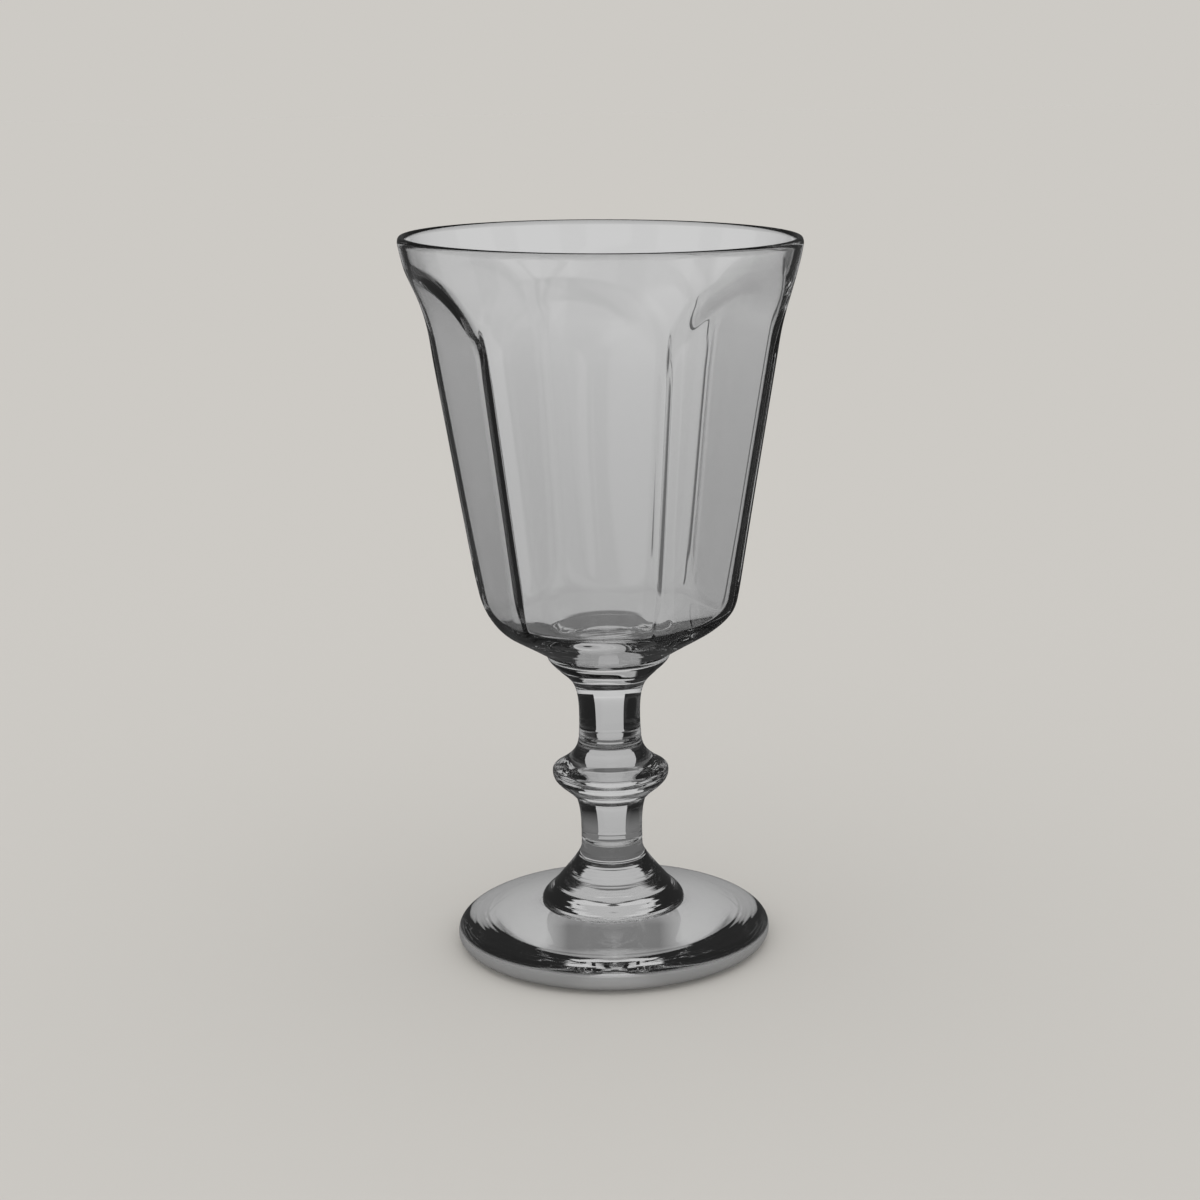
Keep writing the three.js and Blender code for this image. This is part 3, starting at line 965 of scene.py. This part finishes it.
def past_flags(tree, x, y, light):
    """Level beyond the flags: turned light finds it in the gaps only, and the dark beside them."""
    beside_gap = fade(tree, turns(tree, TURNED), light, DARK)
    return fade(tree, between_flags(tree, x, y), beside_gap, seen_in_gap(tree, x, y, light))


def pick(tree, factor, off, on):
    """Shader chosen by a factor."""
    node = tree.nodes.new("ShaderNodeMixShader")
    tree.links.new(factor, node.inputs["Fac"])
    tree.links.new(off, node.inputs[1])
    tree.links.new(on, node.inputs[2])
    return node.outputs["Shader"]


def glow(tree, kind, strength):
    """Neutral light of a strength, for a surface or for the sky."""
    node = tree.nodes.new(kind)
    node.inputs["Color"].default_value = grey(1.0)
    tree.links.new(strength, node.inputs["Strength"])
    return node.outputs[0]


def ridge_shade_strip(tree, x, y):
    """1 in a narrow strip of painted shade on the floor to the right behind the bowl, with soft edges: it
    draws the ridges.
    """
    azimuth = calc(tree, "ARCTAN2", y, x)
    to_right = calc(tree, "SUBTRACT", math.radians(90 + VIEW_AZIMUTH), azimuth)
    start = rises(tree, to_right, in_radians(RIDGE_SHADE_START))
    end = falls(tree, to_right, in_radians(RIDGE_SHADE_END))
    return calc(tree, "MULTIPLY", start, end)


def stem_shade(tree, x, y):
    """1 in the strip under the foot where the stem's shade falls towards the camera, with soft edges."""
    side, towards = math.cos(math.radians(VIEW_AZIMUTH)), math.sin(math.radians(VIEW_AZIMUTH))
    across = calc(tree, "ADD", calc(tree, "MULTIPLY", x, side), calc(tree, "MULTIPLY", y, towards))
    along = calc(tree, "SUBTRACT", calc(tree, "MULTIPLY", x, towards), calc(tree, "MULTIPLY", y, side))
    width = falls(tree, calc(tree, "ABSOLUTE", across), STEM_SHADE_SIDE)
    start, end = rises(tree, along, STEM_SHADE_START), falls(tree, along, STEM_SHADE_END)
    return calc(tree, "MULTIPLY", width, calc(tree, "MULTIPLY", start, end))


def floor_around(tree, x, y, radius):
    """Floor level outside the foot: shaded beside it and paler far off.

    Light through the bowl also finds a shade near the foot, and far off a strip of painted shade that draws
    the ridges.
    """
    bowl_light = through_bowl(tree)
    near = calc(tree, "MULTIPLY", bowl_light, falls(tree, radius, NEAR_EDGE))
    far = calc(tree, "MULTIPLY", bowl_light, rises(tree, radius, FAR_EDGE))
    ridge_shade = calc(tree, "MULTIPLY", far, ridge_shade_strip(tree, x, y))
    open_floor = ramp(tree, radius, *OPEN_FLOOR_REACH, *OPEN_FLOOR)
    beside_foot = ramp(tree, radius, *FOOT_SHADE_EDGE, FOOT_SHADE, open_floor)
    plain = fade(tree, near, fade(tree, ridge_shade, beside_foot, RIDGE_SHADE), NEAR_SHADE)
    return past_flags(tree, x, y, plain)


def floor_below(tree, x, y, radius):
    """Floor level under the foot, painted light and shade: pale, paler below the bell, with the stem's
    shade.

    Turned light finds that only in a narrow gap. Beside the gap it finds a shade below the bell, the dark
    behind it, and some light elsewhere. Scattered light finds all of it dim.
    """
    pale = ramp(tree, radius, *BELL_LIGHT_EDGE, UNDER_BELL, UNDER_FOOT)
    open_floor = fade(tree, stem_shade(tree, x, y), pale, STEM_SHADE)
    off_middle = from_behind(tree, x, y, 0.0)
    beside_bell = ramp(tree, off_middle, *in_radians(SIDE_LIGHT_EDGE), DARK, SIDE_LIGHT)
    below_bell = ramp(tree, radius, *BELL_SHADE_EDGE, BELL_SHADE, beside_bell)
    in_gap = in_core(tree, x, y, FOOT_GAP_HALF_WIDTH)
    narrow = calc(tree, "MULTIPLY", in_gap, rises(tree, radius, BELL_GAP_EDGE))
    turned = fade(tree, turns(tree, TURNED), open_floor, below_bell)
    return fade(tree, turns(tree, SCATTERED), fade(tree, narrow, turned, open_floor), DIM)


def make_pale_floor():
    """Plain matt floor for the camera. Light from the glass finds it glowing instead, with neutral levels of
    painted light and shade under the foot and around it.
    """
    material, tree, output = new_material("pale_floor")
    x, y, _ = place_in(tree, "Object")
    radius = from_axis(tree, x, y)
    below, around = floor_below(tree, x, y, radius), floor_around(tree, x, y, radius)
    level = fade(tree, rises(tree, radius, UNDER_FOOT_EDGE), below, around)
    matt = tree.nodes.new("ShaderNodeBsdfDiffuse")
    matt.inputs["Color"].default_value = (*BACKDROP, 1.0)
    # What the glass sees on the floor is a glow of painted light and shade.
    seen = glow(tree, "ShaderNodeEmission", mirrored(tree, level))
    tree.links.new(pick(tree, from_glass(tree), matt.outputs["BSDF"], seen), output.inputs["Surface"])
    return material


def make_floor():
    """Wide square floor, a hair below the foot."""
    half, low = STUDIO_FLOOR_HALF, STUDIO_FLOOR_LEVEL
    corners = [(-half, -half, low), (half, -half, low), (half, half, low), (-half, half, low)]
    mesh = bpy.data.meshes.new("floor")
    mesh.from_pydata(corners, [], [(0, 1, 2, 3)])
    mesh.materials.append(make_pale_floor())
    add_object("floor", mesh)


def make_dark_flag():
    """Dark flag, paler towards the floor, that only light straight through the stem or the foot meets. It
    glows: painted shade, with painted light towards the floor.
    """
    material, tree, output = new_material("dark_flag")
    _, _, z = place_in(tree, "Object")
    shade = glow(tree, "ShaderNodeEmission", ramp(tree, z, *FLAG_FOOT_EDGE, FLAG_FOOT, DARK))
    passed = calc(tree, "MAXIMUM", through_bowl(tree), turns(tree, TURNED))
    open_way = tree.nodes.new("ShaderNodeBsdfTransparent")
    tree.links.new(pick(tree, passed, shade, open_way.outputs["BSDF"]), output.inputs["Surface"])
    return material


def low_wall(name, first, last, material):
    """Upright strip curved round the stem between two angles in degrees, seen only in the glass."""
    angle = np.radians(np.linspace(first, last, FLAG_STEPS) + VIEW_AZIMUTH)
    lift = np.full(FLAG_STEPS, FLAG_LIFT)
    low = np.stack([-np.sin(angle) * FLAG_RADIUS, np.cos(angle) * FLAG_RADIUS, lift], axis=-1)
    high = low + np.array([0.0, 0.0, FLAG_HEIGHT])
    index = np.arange(FLAG_STEPS - 1)
    faces = np.stack([index, index + 1, index + 1 + FLAG_STEPS, index + FLAG_STEPS], axis=-1)
    mesh = bpy.data.meshes.new(name)
    mesh.from_pydata(np.vstack([low, high]), [], faces.tolist())
    mesh.materials.append(material)
    wall = add_object(name, mesh)
    wall.visible_camera = False
    wall.visible_diffuse = False
    wall.visible_shadow = False


def make_flags():
    """Low dark flags round the stem, between the gap behind it and the row of gaps in front of it."""
    dark_flag = make_dark_flag()
    edges = [FLAG_GAP_HALF_WIDTH]
    for i in range(FRONT_GAPS):
        middle = FRONT_MIDDLE + FRONT_SHARE * (i - FRONT_GAPS // 2)
        edges += [middle - FRONT_HALF_WIDTH, middle + FRONT_HALF_WIDTH]
    edges.append(360 - FLAG_GAP_HALF_WIDTH)
    for i in range(0, len(edges), 2):
        low_wall(f"flag_{i // 2}", edges[i], edges[i + 1], dark_flag)


def make_world():
    """Even white light, the backdrop's own grey for the camera, and a sky for light from the glass."""
    world = bpy.data.worlds.new("studio")
    bpy.context.scene.world = world
    world.use_nodes = True
    tree = world.node_tree
    tree.nodes.clear()
    output = tree.nodes.new("ShaderNodeOutputWorld")
    x, y, z = place_in(tree, "Generated")
    sky = past_flags(tree, x, y, ramp(tree, z, *SKY_EDGE, SKY, SKY_TOP))
    even = tree.nodes.new("ShaderNodeBackground")
    even.inputs["Color"].default_value = grey(1.0)
    backdrop = tree.nodes.new("ShaderNodeBackground")
    backdrop.inputs["Color"].default_value = (*BACKDROP, 1.0)
    seen = glow(tree, "ShaderNodeBackground", mirrored(tree, sky))
    lit = pick(tree, from_glass(tree), even.outputs["Background"], seen)
    chosen = pick(tree, light_path(tree, "Is Camera Ray"), lit, backdrop.outputs["Background"])
    tree.links.new(chosen, output.inputs["Surface"])


def set_up_view():
    """Plain view of the colours, and enough bounces for thick glass and its inner joint faces."""
    scene = bpy.context.scene
    scene.view_settings.view_transform = "Standard"
    scene.cycles.max_bounces = MOST_BOUNCES
    scene.cycles.transmission_bounces = MOST_BOUNCES
    scene.cycles.glossy_bounces = GLOSSY_BOUNCES
    scene.cycles.transparent_max_bounces = CLEAR_BOUNCES


make_foot()
make_stem_base()
make_lower_stem()
make_knop()
make_upper_stem()
make_merese()
make_bowl()
make_camera()
make_floor()
make_flags()
make_world()
set_up_view()
